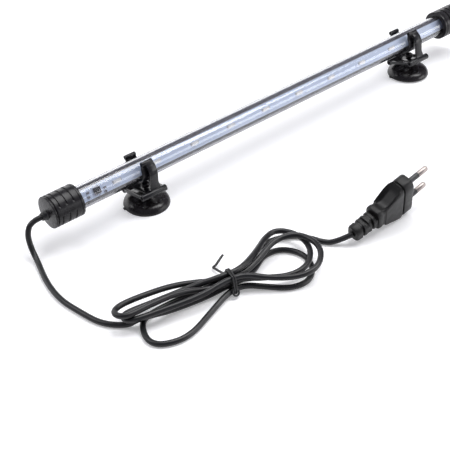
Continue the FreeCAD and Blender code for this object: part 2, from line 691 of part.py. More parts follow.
def plug_body():
    tall, thick = size("plug_tall"), size("plug_thick")
    flange_end = -size("flange_length")
    grip_start = flange_end - 1.3
    rear = -size("plug_body_length")
    end = -size("relief_length")
    rise = size("relief_rise")
    front = plug_loft((0, tall - 1.6, thick - 1.4, 3.8, 5.4), (-1.0, tall, thick, 4.4, 6.2),
                      (flange_end, tall, thick, 4.4, 6.2))
    neck = plug_loft((flange_end, tall - 2.6, thick - 2.2, 3.8, 5.6), (grip_start, tall - 2.6, thick - 2.2, 3.8, 5.6))
    grip = plug_loft((grip_start, tall - 0.5, thick - 0.3, 3.4, 6.2), (-16.0, 29.0, 12.7, 3.0, 5.4),
                     (-22.0, 22.0, 12.2, 3.0, 4.6), (-27.6, 17.0, 11.6, 3.4, 4.4, 0.5))
    collar = plug_loft((-27.6, 17.4, 12.8, 3.6, 4.4, 0.9), (rear, 17.0, 12.6, 3.8, 4.6, 1.1))
    relief = plug_loft((rear, 11.6, 11.0, 3.2, 3.2, 1.0), (end + 1.2, 11.4, 9.9, 3.2, 3.4, rise),
                       (end, 9.8, 8.5, 2.8, 3.0, rise))
    grip = grip.cut(Part.makeCompound([finger_hollow(-1), finger_hollow(1)]))
    shape = front.fuse([neck, grip, collar, relief])
    slot = 1.5
    for i in range(RELIEF_SLOTS):
        x = rear - 1.3 - i * 4.0
        lift = 1.0 + (rise - 1.0) * (rear - x) / (rear - end)
        for side in (-1, 1):
            cut = Part.makeBox(slot, 14, 4, Vector(-slot, -7, 2.9 if side > 0 else -6.9))
            if i % 2:
                cut.rotate(Vector(0, 0, 0), Vector(1, 0, 0), 90)
            cut.translate(Vector(x, 0, lift))
            shape = shape.cut(cut)
    plug = doc.addObject("Part::Feature", "PlugBody")
    plug.Shape = shape.removeSplitter()
    plug.Placement = plug_place()
    keep(plug, "plug_body")


def pin_place(side):
    """A pin's frame on the plug's face; the pins lean a little towards each other."""
    lean = math.degrees(math.atan((size("pin_spacing") - size("pin_tip_spacing")) / 2 / size("pin_length")))
    local = Placement(Vector(0, 0, side * size("pin_spacing") / 2), Rotation(Vector(0, 1, 0), 90 + side * lean))
    return plug_place().multiply(local)


def plug_pins():
    core = 1.2
    long, bare = size("pin_length"), size("pin_sleeve_length")
    radius = size("pin_radius")
    pins = []
    sleeves = []
    for side in (-1, 1):
        stem = Part.makeCylinder(core, bare)
        tip = Part.makeCylinder(radius, long - bare - radius, Vector(0, 0, bare))
        nose = Part.makeSphere(radius, Vector(0, 0, long - radius))
        pin = stem.fuse([tip, nose]).removeSplitter()
        outer = Part.makeCylinder(size("pin_sleeve_radius"), bare)
        sleeve = outer.cut(Part.makeCylinder(core, bare))
        for shape, group in ((pin, pins), (sleeve, sleeves)):
            shape.Placement = pin_place(side)
            group.append(shape)
    for label, group in (("plug_pins", pins), ("pin_sleeves", sleeves)):
        item = doc.addObject("Part::Feature", label)
        item.Shape = Part.makeCompound(group)
        keep(item, label)


def check_and_export():
    doc.recompute()
    for obj in doc.Objects:
        if "Invalid" in obj.State or "Error" in obj.State:
            raise RuntimeError(f"{obj.Name} failed: {obj.State}")
    os.makedirs("parts", exist_ok=True)
    for piece in PIECES:
        shape = piece.Shape
        if shape.isNull() or not shape.isValid():
            raise RuntimeError(f"{piece.Label} has no valid shape")
        shape.exportStep(f"parts/{piece.Label}.step")
        extent = shape.BoundBox
        print(f"{piece.Label}: {len(shape.Solids)} solids, {shape.Volume:.1f} mm3,"
              f" x {extent.XMin:.1f} {extent.XMax:.1f} y {extent.YMin:.1f} {extent.YMax:.1f}"
              f" z {extent.ZMin:.2f} {extent.ZMax:.1f}")


clear_tube()
led_tray()
led_board()
board_parts()
supply_wires()
end_cap("left_end_cap", -1, 174.0)
end_cap("right_end_cap", 1, 38.0)
end_plug("left_end_plug", -1)
end_plug("right_end_plug", 1)
tube_seal("left_tube_seal", -1)
tube_seal("right_tube_seal", 1)
cord_gland()
clip("left_clip", "left_clip_x", "left_lean")
clip("right_clip", "right_clip_x", "right_lean")
suction_cup("left_suction_cup", "left_clip_x", "left_lean", 0)
suction_cup("right_suction_cup", "right_clip_x", "right_lean", "right_cup_lift")
cord_lead_in()
cord_hank()
cord_lead_out()
twist_tie()
plug_body()
plug_pins()
check_and_export()
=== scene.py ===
# %% [markdown]
# # A submersible tube light for an aquarium, with its clips, suction cups and folded mains lead
# The light is a clear tube with a strip of white lights inside and a ribbed black cap on each end.
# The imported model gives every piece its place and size, so this lesson builds only the looks on top of it.
# Each finished piece sits at the origin, rides on one body of the model and replaces the plain solid there.

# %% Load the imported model
import math
import bmesh
import bpy
from mathutils import Matrix, Vector


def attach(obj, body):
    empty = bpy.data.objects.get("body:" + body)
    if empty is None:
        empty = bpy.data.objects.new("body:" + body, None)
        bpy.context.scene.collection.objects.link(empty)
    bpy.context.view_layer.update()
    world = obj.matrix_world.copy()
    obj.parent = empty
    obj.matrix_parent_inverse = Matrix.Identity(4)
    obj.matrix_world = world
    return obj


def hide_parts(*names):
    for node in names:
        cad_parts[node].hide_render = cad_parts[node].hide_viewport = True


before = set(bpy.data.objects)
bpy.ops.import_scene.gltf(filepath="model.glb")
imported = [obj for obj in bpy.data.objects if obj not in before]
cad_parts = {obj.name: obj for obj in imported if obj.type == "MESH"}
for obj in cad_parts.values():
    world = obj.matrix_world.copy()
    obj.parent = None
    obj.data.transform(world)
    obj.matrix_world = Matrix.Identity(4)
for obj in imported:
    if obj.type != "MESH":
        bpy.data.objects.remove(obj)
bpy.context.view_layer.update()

# %% [markdown]
# ## Sizes and turns
# All sizes are written in millimetres, as on a drawing, and turned to metres where a shape is made.
# The tube's axis runs along X at one height, so it is named once and used by the tube, caps, board and gland.
# Turns are written in degrees, and one small function makes the matrix of each.

# %% Sizes that several pieces share
MM = 0.001
AXIS = Vector((0, 3.7, 27.4)) * MM
LEFT_END, RIGHT_END = -195.45, 199.45
TUBE_RADIUS, TUBE_BORE = 8.0, 7.0
scene = bpy.context.scene


def rotation(degrees, axis):
    return Matrix.Rotation(math.radians(degrees), 4, axis)


print("length over the caps:", round(RIGHT_END - LEFT_END, 1), "mm")

# %% [markdown]
# ## The camera
# The photograph looks down on the light from the cord's side. Its angles were solved from the plug and the
# tube. A camera could be aimed with a tracking constraint, but a solved view also has a roll, so it is given a
# matrix: a camera looks along its own -Z, and the matrix holds right, up and backwards as columns.

# %% Camera
azimuth, elevation, roll = math.radians(39.71), math.radians(38.78), math.radians(-0.95)
CAMERA_PLACE = Vector((-456.68, -488.40, 453.41)) * MM
SENSOR_WIDTH, FOCAL_PIXELS, PICTURE_WIDTH = 36, 1081.7, 450
forward = Vector((math.sin(azimuth) * math.cos(elevation), math.cos(azimuth) * math.cos(elevation),
                  -math.sin(elevation)))
level = Vector((math.cos(azimuth), -math.sin(azimuth), 0))
upright = level.cross(forward)
right = level * math.cos(roll) + upright * math.sin(roll)
up = upright * math.cos(roll) - level * math.sin(roll)
camera = bpy.data.objects.new("camera", bpy.data.cameras.new("camera"))
scene.collection.objects.link(camera)
camera.matrix_world = Matrix.Translation(CAMERA_PLACE) @ Matrix((right, up, -forward)).transposed().to_4x4()
camera.data.sensor_width = SENSOR_WIDTH
camera.data.lens = SENSOR_WIDTH * FOCAL_PIXELS / PICTURE_WIDTH
camera.data.clip_start, camera.data.clip_end = 0.01, 20
scene.camera = camera
print("lens:", round(camera.data.lens, 1), "mm")

# %% [markdown]
# ## The mains cord
# The cord leaves the cap, drops to the floor, runs round the loops of the tied bundle and ends in the plug.
# It could be a physics simulation, but a real bundle lies as hands left it, so each bend is given one by one.
# In the bundle the points are measured from the tie: along the bundle, across it and up, because a loop is
# easier to place that way. One matrix then turns the bundle to its place, and another one does it for the plug.

# %% Route of the cord
CORD_RADIUS = 1.9
LEAD_IN = [
    (-199.0, 6.2, 24.2), (-206.3, 7.2, 23.9), (-210.6, 6.4, 16.5), (-211.2, 2.8, 7.4), (-212.6, -6.5, 2.0),
    (-219.0, -26.0, 1.9), (-221.5, -45.0, 1.9), (-218.5, -62.5, 1.9), (-214.5, -79.5, 1.9),
    (-203.8, -90.8, 1.9),
]
# The strands pass the tie in three layers
BUNDLE = [
    # Over the loose loop, under the tie in the bottom layer, and round the lowest right loop
    (-68.5, -8.6, 5.7), (-60.0, -9.6, 6.4), (-48.0, -7.6, 2.6), (-22.0, -6.0, 2.0), (-6.0, -4.4, 3.7),
    (8.0, -3.0, 3.7), (19.0, 4.6, 2.0), (28.1, 13.0, 1.9), (41.9, 14.0, 1.9), (52.0, 3.5, 1.9),
    (52.0, -10.7, 1.9), (42.5, -22.2, 1.9), (28.5, -22.6, 1.9),
    # Back under the tie and round the loose loop on the floor
    (15.0, -13.6, 2.0), (4.5, -8.8, 3.7), (-7.0, -9.2, 3.7), (-24.0, -19.0, 1.9), (-44.8, -32.5, 1.9),
    (-61.6, -32.0, 1.9), (-68.5, -25.3, 1.9), (-67.5, -14.0, 1.9), (-63.0, -5.6, 1.9), (-52.0, -2.4, 1.9),
    (-38.0, 0.0, 1.9),
    # Up to the middle layer and round the big right loop
    (-22.0, -0.4, 3.2), (-11.0, -1.8, 7.0), (0.0, -1.8, 7.6), (9.0, -1.2, 7.4), (21.0, 4.8, 8.5),
    (36.4, 14.0, 11.0), (51.0, 13.5, 11.4), (58.5, 3.1, 11.6), (58.5, -9.3, 11.6), (49.5, -21.0, 10.4),
    (35.4, -23.0, 9.2),
    # Over the top and round the inner left loop
    (18.0, -16.4, 9.8), (5.0, -7.8, 11.5), (-8.0, -7.2, 11.5), (-26.0, -10.6, 9.2), (-54.0, -11.4, 9.2),
    (-67.5, -12.2, 9.8), (-72.5, -11.6, 9.6), (-76.0, -8.4, 8.4), (-75.0, -2.6, 6.6), (-70.0, -0.2, 6.0),
    (-54.6, 0.6, 6.0),
    # Over the top again and round the upper right loop
    (-27.0, 0.2, 8.6), (-7.0, -2.6, 11.3), (5.0, -1.6, 11.6), (19.5, 7.9, 10.9), (37.5, 25.4, 6.9),
    (47.5, 26.0, 6.9), (56.3, 15.2, 6.9), (56.3, -0.2, 6.9), (46.5, -13.4, 6.6), (32.0, -16.2, 6.0),
    # Through the middle layer and round the outer left loop
    (16.0, -10.4, 6.2), (4.0, -6.2, 7.5), (-8.0, -6.2, 7.5), (-20.0, -4.6, 6.8), (-38.0, -4.4, 12.0),
    (-58.0, -7.6, 13.2), (-70.0, -10.2, 13.4), (-76.0, -10.6, 13.4), (-80.4, -7.4, 13.0),
    (-80.6, -2.4, 12.2), (-75.0, 1.8, 11.6), (-60.0, 3.8, 11.2), (-38.0, 7.2, 8.0),
    # Down under the tie once more and out to the plug
    (-18.0, 5.6, 4.4), (-5.0, 0.6, 3.7), (5.0, 1.0, 3.7), (18.0, 12.0, 2.0), (34.0, 24.5, 1.9),
    (55.0, 23.0, 1.9), (64.5, 14.0, 1.9), (69.0, 7.6, 1.9), (75.5, 2.6, 2.4),
]
TIE_PLACE, BUNDLE_HEADING = (-130.05, -102.0, 0), -13.94
PLUG_PLACE, PLUG_HEADING, PLUG_PITCH, PLUG_ROLL = (3.16, -124.11, 18.34), -0.75, -13.7, 10.3
RELIEF_END = Vector((-50.4, 0, 1.6))
bundle_place = Matrix.Translation(TIE_PLACE) @ rotation(BUNDLE_HEADING, "Z")
plug_place = (Matrix.Translation(PLUG_PLACE) @ rotation(PLUG_HEADING, "Z") @ rotation(PLUG_PITCH, "Y")
              @ rotation(PLUG_ROLL, "X"))
route = [Vector(p) for p in LEAD_IN] + [bundle_place @ Vector(p) for p in BUNDLE] + [plug_place @ RELIEF_END]
print("control points:", len(route))

# %% [markdown]
# A round cord is one smooth NURBS curve with a round bevel. A chain of cylinders would show its joints at every
# bend, and a curve stays easy to lay anew. The order and the end point setting come after the points, because
# before them they have no effect. The same helper later makes the wire of the tie, with Bezier points.

# %% Cord curve
def add_curve(name, points, radius, closed=False, nurbs=True):
    """A round wire along points, given in millimetres."""
    curve = bpy.data.curves.new(name, "CURVE")
    curve.dimensions = "3D"
    curve.bevel_depth = radius * MM
    curve.bevel_resolution = 7
    curve.use_fill_caps = True
    curve.resolution_u = 10
    line = curve.splines.new("NURBS" if nurbs else "BEZIER")
    knots = line.points if nurbs else line.bezier_points
    knots.add(len(points) - 1)
    for knot, spot in zip(knots, points):
        if nurbs:
            knot.co = (*(Vector(spot) * MM), 1)
        else:
            knot.co = Vector(spot) * MM
            knot.handle_left_type = knot.handle_right_type = "AUTO"
    line.use_cyclic_u = closed
    if nurbs:
        line.order_u = 3
        line.use_endpoint_u = not closed
    piece = bpy.data.objects.new(name, curve)
    scene.collection.objects.link(piece)
    print(f"{name}: {len(points)} points, {2 * radius} mm thick")
    return piece


mains_cord = add_curve("mains_cord", route, CORD_RADIUS)

# %% [markdown]
# ## Materials
# Nearly everything here is black plastic or rubber, and the differences lie in gloss, grain and tone.
# Photographs of surfaces could be wrapped round the pieces, but noise needs no seams and no files. It reads
# Object coordinates, which are metres here, so a scale of 100 gives spots about a centimetre wide.

# %% A new material, and noise for it
def new_material(name):
    material = bpy.data.materials.new(name)
    material.use_nodes = True
    return material, material.node_tree.nodes, material.node_tree.links


def noise(material, scale, detail=3.0, stretch=(1, 1, 1)):
    nodes, links = material.node_tree.nodes, material.node_tree.links
    place = nodes.new("ShaderNodeTexCoord")
    mapping = nodes.new("ShaderNodeMapping")
    mapping.inputs["Scale"].default_value = stretch
    texture = nodes.new("ShaderNodeTexNoise")
    texture.inputs["Scale"].default_value = scale
    texture.inputs["Detail"].default_value = detail
    links.new(place.outputs["Object"], mapping.inputs["Vector"])
    links.new(mapping.outputs["Vector"], texture.inputs["Vector"])
    return texture.outputs["Fac"]


print("noise is ready")

# %% [markdown]
# Noise can drive three things: how glossy a spot is, its tone, and a bump. Raw noise stays near a half and
# hardly ever reaches nought or one, so its middle part is stretched over the wanted range. Otherwise the two
# ends that are written for a finish would never be seen.

# %% What noise drives
NOISE_LOW, NOISE_HIGH = 0.3, 0.7


def spread(material, value, low, high):
    """Noise as a number between low and high."""
    nodes, links = material.node_tree.nodes, material.node_tree.links
    scaled = nodes.new("ShaderNodeMapRange")
    scaled.inputs["From Min"].default_value = NOISE_LOW
    scaled.inputs["From Max"].default_value = NOISE_HIGH
    scaled.inputs["To Min"].default_value = low
    scaled.inputs["To Max"].default_value = high
    links.new(value, scaled.inputs["Value"])
    return scaled.outputs["Result"]


def tint(material, value, dark, light):
    """Noise as a tone between dark and light."""
    nodes, links = material.node_tree.nodes, material.node_tree.links
    ramp = nodes.new("ShaderNodeValToRGB")
    for stop, position, colour in zip(ramp.color_ramp.elements, (NOISE_LOW, NOISE_HIGH), (dark, light)):
        stop.position = position
        stop.color = (*colour, 1)
    links.new(value, ramp.inputs["Fac"])
    links.new(ramp.outputs["Color"], nodes["Principled BSDF"].inputs["Base Color"])


def grain(material, value, depth):
    """Noise as a bump, with its depth in millimetres."""
    nodes, links = material.node_tree.nodes, material.node_tree.links
    bump = nodes.new("ShaderNodeBump")
    bump.inputs["Strength"].default_value = 1.0
    bump.inputs["Distance"].default_value = depth * MM
    links.new(value, bump.inputs["Height"])
    links.new(bump.outputs["Normal"], nodes["Principled BSDF"].inputs["Normal"])


print("noise is stretched from", NOISE_LOW, "to", NOISE_HIGH)

# %% [markdown]
# Moulded plastic and rubber share one recipe: fine noise for the moulded grain, and broad noise that makes tone
# and gloss uneven, as handling and the flow in the mould do. One recipe with other numbers is easier to judge
# side by side than many different node trees.

# %% The recipe for moulded plastic and rubber
TONE_SCALE, GLOSS_SCALE = 90.0, 260.0


def moulded(name, dark, light, gloss, grain_size, grain_depth, specular=0.5):
    """Gloss is the lowest and highest roughness. The grain's size and depth are in millimetres."""
    material, nodes, links = new_material(name)
    shader = nodes["Principled BSDF"]
    tint(material, noise(material, TONE_SCALE), dark, light)
    links.new(spread(material, noise(material, GLOSS_SCALE, 4.0), *gloss), shader.inputs["Roughness"])
    shader.inputs["Specular IOR Level"].default_value = specular
    grain(material, noise(material, 1 / (grain_size * MM), 2.0), grain_depth)
    return material


print("moulded recipe: tone noise at", TONE_SCALE, "and gloss noise at", GLOSS_SCALE)

# %% [markdown]
# The caps are satin, the cord's jacket a little duller, the clips and cups glossy and slightly smoky, and the
# plug has the dull fine grain of a spark-finished mould. Blacks this deep differ by less than a hundredth in
# colour, so the eye tells them apart by their gloss, and most of the care goes there.

# %% Black finishes
cap_black = moulded("cap_black", (0.008, 0.0075, 0.009), (0.013, 0.012, 0.014), gloss=(0.24, 0.32),
                    grain_size=0.5, grain_depth=0.008, specular=0.26)
cord_jacket = moulded("cord_jacket", (0.005, 0.005, 0.006), (0.008, 0.008, 0.009), gloss=(0.30, 0.40),
                      grain_size=0.6, grain_depth=0.008, specular=0.38)
gland_rubber = moulded("gland_rubber", (0.008, 0.008, 0.009), (0.013, 0.013, 0.014), gloss=(0.42, 0.55),
                       grain_size=0.4, grain_depth=0.02)
clip_smoke = moulded("clip_smoke", (0.007, 0.007, 0.009), (0.012, 0.012, 0.014), gloss=(0.20, 0.28),
                     grain_size=0.8, grain_depth=0.006, specular=0.28)
cup_rubber = moulded("cup_rubber", (0.006, 0.005, 0.006), (0.011, 0.009, 0.010), gloss=(0.22, 0.32),
                     grain_size=0.8, grain_depth=0.008, specular=0.32)
plug_black = moulded("plug_black", (0.006, 0.006, 0.006), (0.010, 0.010, 0.010), gloss=(0.40, 0.50),
                     grain_size=0.35, grain_depth=0.02, specular=0.28)
sleeve_black = moulded("sleeve_black", (0.014, 0.015, 0.016), (0.022, 0.023, 0.025), gloss=(0.38, 0.48),
                       grain_size=0.4, grain_depth=0.012)
tie_coat = moulded("tie_wire", (0.006, 0.006, 0.007), (0.012, 0.012, 0.012), gloss=(0.35, 0.5),
                   grain_size=0.4, grain_depth=0.01)
seal_rubber = moulded("seal_rubber", (0.006, 0.006, 0.006), (0.010, 0.010, 0.010), gloss=(0.5, 0.6),
                      grain_size=0.4, grain_depth=0.01)
tray_dark = moulded("tray_dark", (0.030, 0.026, 0.027), (0.050, 0.043, 0.043), gloss=(0.28, 0.36),
                    grain_size=0.8, grain_depth=0.01)
chip_black = moulded("chip_black", (0.010, 0.010, 0.011), (0.016, 0.016, 0.017), gloss=(0.45, 0.6),
                     grain_size=0.25, grain_depth=0.01)
print("black finishes:", len(bpy.data.materials))

# %% [markdown]
# Clear and shining things need to know which kind of ray arrives. The Light Path node says so with a one or a
# nought for each kind, and the larger of two such numbers means "this kind or that one".

# %% Which ray arrives
def larger(nodes, links, first, second):
    node = nodes.new("ShaderNodeMath")
    node.operation = "MAXIMUM"
    links.new(first, node.inputs[0])
    links.new(second, node.inputs[1])
    return node.outputs[0]


def ray_is(nodes, links, *kinds):
    """One where a ray of any of these kinds arrives, and nought for the others."""
    path = nodes.new("ShaderNodeLightPath")
    found = path.outputs[kinds[0]]
    for kind in kinds[1:]:
        found = larger(nodes, links, found, path.outputs[kind])
    return found


print("rays can be told apart")

# %% [markdown]
# The tube is clear acrylic. It could be a thin see-through shell, but full transmission with the plastic's
# refractive index bends the view of the board as the real tube does. Faint lengthwise streaks in the roughness
# stand for draw marks. A little absorption inside the wall greys the tube's two edges, where the line of sight
# runs a long way through plastic, more than its middle. Shadow rays, and the rays that a dull surface sends
# out, pass straight through, which spares the board bright specks.

# %% The tube's clear plastic
DRAW_MARKS = (0.01, 1, 1)
clear_plastic, nodes, links = new_material("clear_tube")
shader = nodes["Principled BSDF"]
shader.inputs["Base Color"].default_value = (0.97, 0.97, 0.98, 1)
shader.inputs["Transmission Weight"].default_value = 1.0
shader.inputs["IOR"].default_value = 1.49
streaks = noise(clear_plastic, 300.0, 2.0, DRAW_MARKS)
links.new(spread(clear_plastic, streaks, 0.09, 0.13), shader.inputs["Roughness"])
passing = nodes.new("ShaderNodeBsdfTransparent")
passing.inputs["Color"].default_value = (0.93, 0.94, 0.96, 1)
either = nodes.new("ShaderNodeMixShader")
links.new(ray_is(nodes, links, "Is Shadow Ray", "Is Diffuse Ray"), either.inputs[0])
links.new(shader.outputs["BSDF"], either.inputs[1])
links.new(passing.outputs["BSDF"], either.inputs[2])
links.new(either.outputs["Shader"], nodes["Material Output"].inputs["Surface"])
absorbing = nodes.new("ShaderNodeVolumeAbsorption")
absorbing.inputs["Color"].default_value = (0.0, 0.03, 0.10, 1)
absorbing.inputs["Density"].default_value = 220
links.new(absorbing.outputs["Volume"], nodes["Material Output"].inputs["Volume"])
print("tube plastic:", len(nodes), "nodes")

# %% [markdown]
# The board is bluish white with a thin clear coat, and broad, lengthwise noise keeps it from looking printed
# flat. The small parts on it have one roughness each and only a fine change of tone, because at their size
# nothing more would be seen.

# %% Finishes on the board
def plain(name, roughness, dark, light, *pattern):
    """One roughness and two tones. The pattern is the noise's scale, then its detail and its stretch."""
    material, nodes, links = new_material(name)
    nodes["Principled BSDF"].inputs["Roughness"].default_value = roughness
    tint(material, noise(material, *pattern), dark, light)
    return material


board_mask = plain("board_white", 0.3, (0.62, 0.72, 0.90), (0.75, 0.83, 0.97), 60.0, 4.0, (0.35, 1, 1))
board_mask.node_tree.nodes["Principled BSDF"].inputs["Coat Weight"].default_value = 0.3
grain(board_mask, noise(board_mask, 900.0), 0.01)
led_case = plain("led_case", 0.35, (0.80, 0.80, 0.78), (0.90, 0.90, 0.88), 900.0)
led_gel = plain("led_gel", 0.15, (0.93, 0.93, 0.90), (0.98, 0.98, 0.96), 1200.0)
resistor = plain("resistor", 0.4, (0.16, 0.16, 0.19), (0.24, 0.24, 0.27), 900.0)
wire_white = plain("wire_white", 0.4, (0.66, 0.66, 0.66), (0.78, 0.78, 0.78), 600.0)
print("board finishes:", board_mask.name, led_case.name, led_gel.name, resistor.name, wire_white.name)

# %% [markdown]
# The pins are nickel-plated, with fine rings round them from the lathe: noise that is stretched across the pin
# gives the rings without a ring being drawn. The solder is the same metal recipe, greyer and rougher.

# %% Metals
TARNISH = 0.92


def metal(name, colour, gloss, size, depth, stretch=(1, 1, 1)):
    material, nodes, links = new_material(name)
    shader = nodes["Principled BSDF"]
    shader.inputs["Metallic"].default_value = 1.0
    tint(material, noise(material, 300.0), [c * TARNISH for c in colour], colour)
    streaks = noise(material, 1 / (size * MM), 2.0, stretch)
    links.new(spread(material, streaks, *gloss), shader.inputs["Roughness"])
    grain(material, streaks, depth)
    return material


pin_nickel = metal("pin_nickel", (0.36, 0.32, 0.30), gloss=(0.30, 0.40), size=0.6, depth=0.002,
                   stretch=(1, 0.2, 0.2))
solder = metal("solder", (0.42, 0.42, 0.43), gloss=(0.35, 0.5), size=0.3, depth=0.01)
print("metals:", pin_nickel.name, solder.name)

# %% [markdown]
# ## From bmesh to a finished piece
# Every piece ends the same way: doubles merged, normals turned outwards, a mesh and an object made,
# faces shaded smooth with sharp edges kept, and the piece tied to its body and to the solid it replaces.
# A function does it, so that no piece can miss a step.

# %% Finish a piece
SAME_SPOT = 1e-6


def finish_piece(bm, name, materials, body, solids, sharp=38.0):
    bmesh.ops.remove_doubles(bm, verts=bm.verts, dist=SAME_SPOT)
    bmesh.ops.recalc_face_normals(bm, faces=bm.faces)
    mesh = bpy.data.meshes.new(name)
    bm.to_mesh(mesh)
    bm.free()
    for material in materials:
        mesh.materials.append(material)
    mesh.shade_smooth()
    mesh.set_sharp_from_angle(angle=math.radians(sharp))
    piece = bpy.data.objects.new(name, mesh)
    scene.collection.objects.link(piece)
    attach(piece, body)
    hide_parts(*solids)
    print(f"{name}: {len(mesh.polygons)} faces")
    return piece


# %% [markdown]
# ## The clear tube
# A tube with a wall is a ring that is pushed along its length: two circles are bridged to a ring of faces,
# and the ring is extruded. A plain cylinder would be quicker, but the wall matters, because the inner surface
# bends the light back.

# %% Clear tube
TUBE_START, TUBE_LENGTH = -188.45, 380.9
bm = bmesh.new()
for radius in (TUBE_RADIUS, TUBE_BORE):
    bmesh.ops.create_circle(bm, segments=128, radius=radius * MM)
bmesh.ops.bridge_loops(bm, edges=bm.edges[:])
grown = bmesh.ops.extrude_face_region(bm, geom=bm.faces[:])["geom"]
far_end = [g for g in grown if isinstance(g, bmesh.types.BMVert)]
bmesh.ops.translate(bm, vec=(0, 0, TUBE_LENGTH * MM), verts=far_end)
tube_place = Matrix.Translation(AXIS + Vector((TUBE_START * MM, 0, 0))) @ rotation(90, "Y")
bmesh.ops.transform(bm, matrix=tube_place, verts=bm.verts)
finish_piece(bm, "glass_tube", [clear_plastic], "lamp", ["clear_tube"])

# %% [markdown]
# ## Turned pieces
# Caps, cups, pins and the gland are all round. Such a piece could be cut from a cylinder, ring by ring, but it
# is quicker to draw half its outline once and spin it, as on a lathe. The last step of a full spin is merged
# with the first one, and so are the points on the axis.

# %% A lathe
def lathe(bm, profile, place, steps):
    """Spin a profile of (distance along X, radius) about X, then put it in place."""
    spots = [bm.verts.new(Vector((x, 0, r)) * MM) for x, r in profile]
    edges = [bm.edges.new(pair) for pair in zip(spots, spots[1:])]
    bmesh.ops.spin(bm, geom=spots + edges, cent=(0, 0, 0), axis=(1, 0, 0), angle=2 * math.pi,
                   steps=steps, use_merge=True)
    bmesh.ops.remove_doubles(bm, verts=bm.verts, dist=1e-7)
    bmesh.ops.transform(bm, matrix=place, verts=bm.verts)


print("the lathe turns about X")

# %% [markdown]
# ## The ribbed end caps
# A cap has three deep grooves between its ribs and a shallow one near its inner end. A groove cut square would
# look drawn with a pen, so each side of it has a small lip that turns in softly and catches the light.

# %% A cap's outline
CAP_RADIUS, RIB_FLOOR, BAND_FLOOR = 11.2, 10.45, 10.8
GROOVES, GROOVE_WIDTH = (4.2, 9.4, 14.6), 1.2
BAND_START, BAND_END = 19.3, 20.2


def rounded_groove(start, end, floor):
    """One groove's points, with a lip that turns in softly on each side."""
    way_in = [(start - 0.4, CAP_RADIUS), (start - 0.15, CAP_RADIUS), (start - 0.05, CAP_RADIUS - 0.07),
              (start, floor + 0.1), (start + 0.1, floor)]
    way_out = [(end - 0.1, floor), (end, floor + 0.1), (end + 0.05, CAP_RADIUS - 0.07),
               (end + 0.15, CAP_RADIUS), (end + 0.4, CAP_RADIUS)]
    return way_in + way_out


cap_outline = [(2.0, TUBE_BORE), (2.0, 10.95), (2.1, 11.12), (2.35, CAP_RADIUS), (2.7, CAP_RADIUS)]
for first in GROOVES:
    cap_outline += rounded_groove(first, first + GROOVE_WIDTH, RIB_FLOOR)
cap_outline += rounded_groove(BAND_START, BAND_END, BAND_FLOOR)
cap_outline += [(21.7, CAP_RADIUS), (21.98, 11.08), (22.1, 10.85), (22.1, TUBE_RADIUS), (6.0, TUBE_RADIUS),
                (6.0, TUBE_BORE), (2.0, TUBE_BORE)]
print("points in a cap's outline:", len(cap_outline))

# %% [markdown]
# The deep grooves stop at a smooth patch on the cap's side. A spin can't leave a groove out for a part of its
# turn, so the groove's points are lifted back to the full radius there, with a soft start and end.

# %% End caps
CAP_STEPS, CAP_SHARP = 120, 30
GROOVE_ZONE = (3.8, 16.6)
# The smooth patch in degrees round the cap: its middle, half its width and its soft edge
PATCH_MIDDLE, PATCH_HALF, PATCH_FADE = 158.0, 18.5, 4.0


def cap_place(end, side):
    """A cap is turned with its outer face at nought, then mirrored and moved to its end."""
    return Matrix.Translation(AXIS + Vector((end * MM, 0, 0))) @ Matrix.Diagonal((-side, 1, 1, 1))


def end_cap(name, node, end, side):
    bm = bmesh.new()
    lathe(bm, cap_outline, Matrix.Identity(4), CAP_STEPS)
    for spot in bm.verts:
        radius = math.hypot(spot.co.y, spot.co.z) / MM
        if RIB_FLOOR - 0.05 < radius < CAP_RADIUS and GROOVE_ZONE[0] < spot.co.x / MM < GROOVE_ZONE[1]:
            turn = math.degrees(math.atan2(spot.co.z, spot.co.y)) % 360
            lift = min(1.0, max(0.0, (PATCH_HALF - abs(turn - PATCH_MIDDLE)) / PATCH_FADE))
            spot.co.yz *= 1 + (CAP_RADIUS / radius - 1) * lift
    bmesh.ops.transform(bm, matrix=cap_place(end, side), verts=bm.verts)
    finish_piece(bm, name, [cap_black], "lamp", [node], CAP_SHARP)


end_cap("left_cap_sleeve", "left_end_cap", LEFT_END, -1)
end_cap("right_cap_sleeve", "right_end_cap", RIGHT_END, 1)

# %% [markdown]
# Each cap is closed by a disc with a rounded rim, a fine gap behind the rim, and a spigot that reaches into the
# tube. It is turned as a piece of its own, as on the real light, because the gap then shows as a true seam.

# %% End discs
def end_disc(name, node, end, side):
    outline = [(0, 0), (0, 10.6), (0.06, 10.9), (0.22, 11.12), (0.45, CAP_RADIUS), (0.95, CAP_RADIUS),
               (1.15, 11.1), (1.2, 10.9), (1.2, 10.4), (2.0, 10.4), (2.0, TUBE_BORE), (6.0, TUBE_BORE),
               (6.0, 0)]
    bm = bmesh.new()
    lathe(bm, outline, cap_place(end, side), CAP_STEPS)
    finish_piece(bm, name, [cap_black], "lamp", [node], CAP_SHARP)


end_disc("left_cap_disc", "left_end_plug", LEFT_END, -1)
end_disc("right_cap_disc", "right_end_plug", RIGHT_END, 1)

# %% [markdown]
# ## The lights on the board
# Each light is a small white case with a pale gel in a sunken window. Its top face is inset and pushed down,
# with the gel's material on the bottom of the window, and its square edges are bevelled. All nine stand in a
# row at one pitch, so a loop makes them, and one matrix tilts the row with the board.

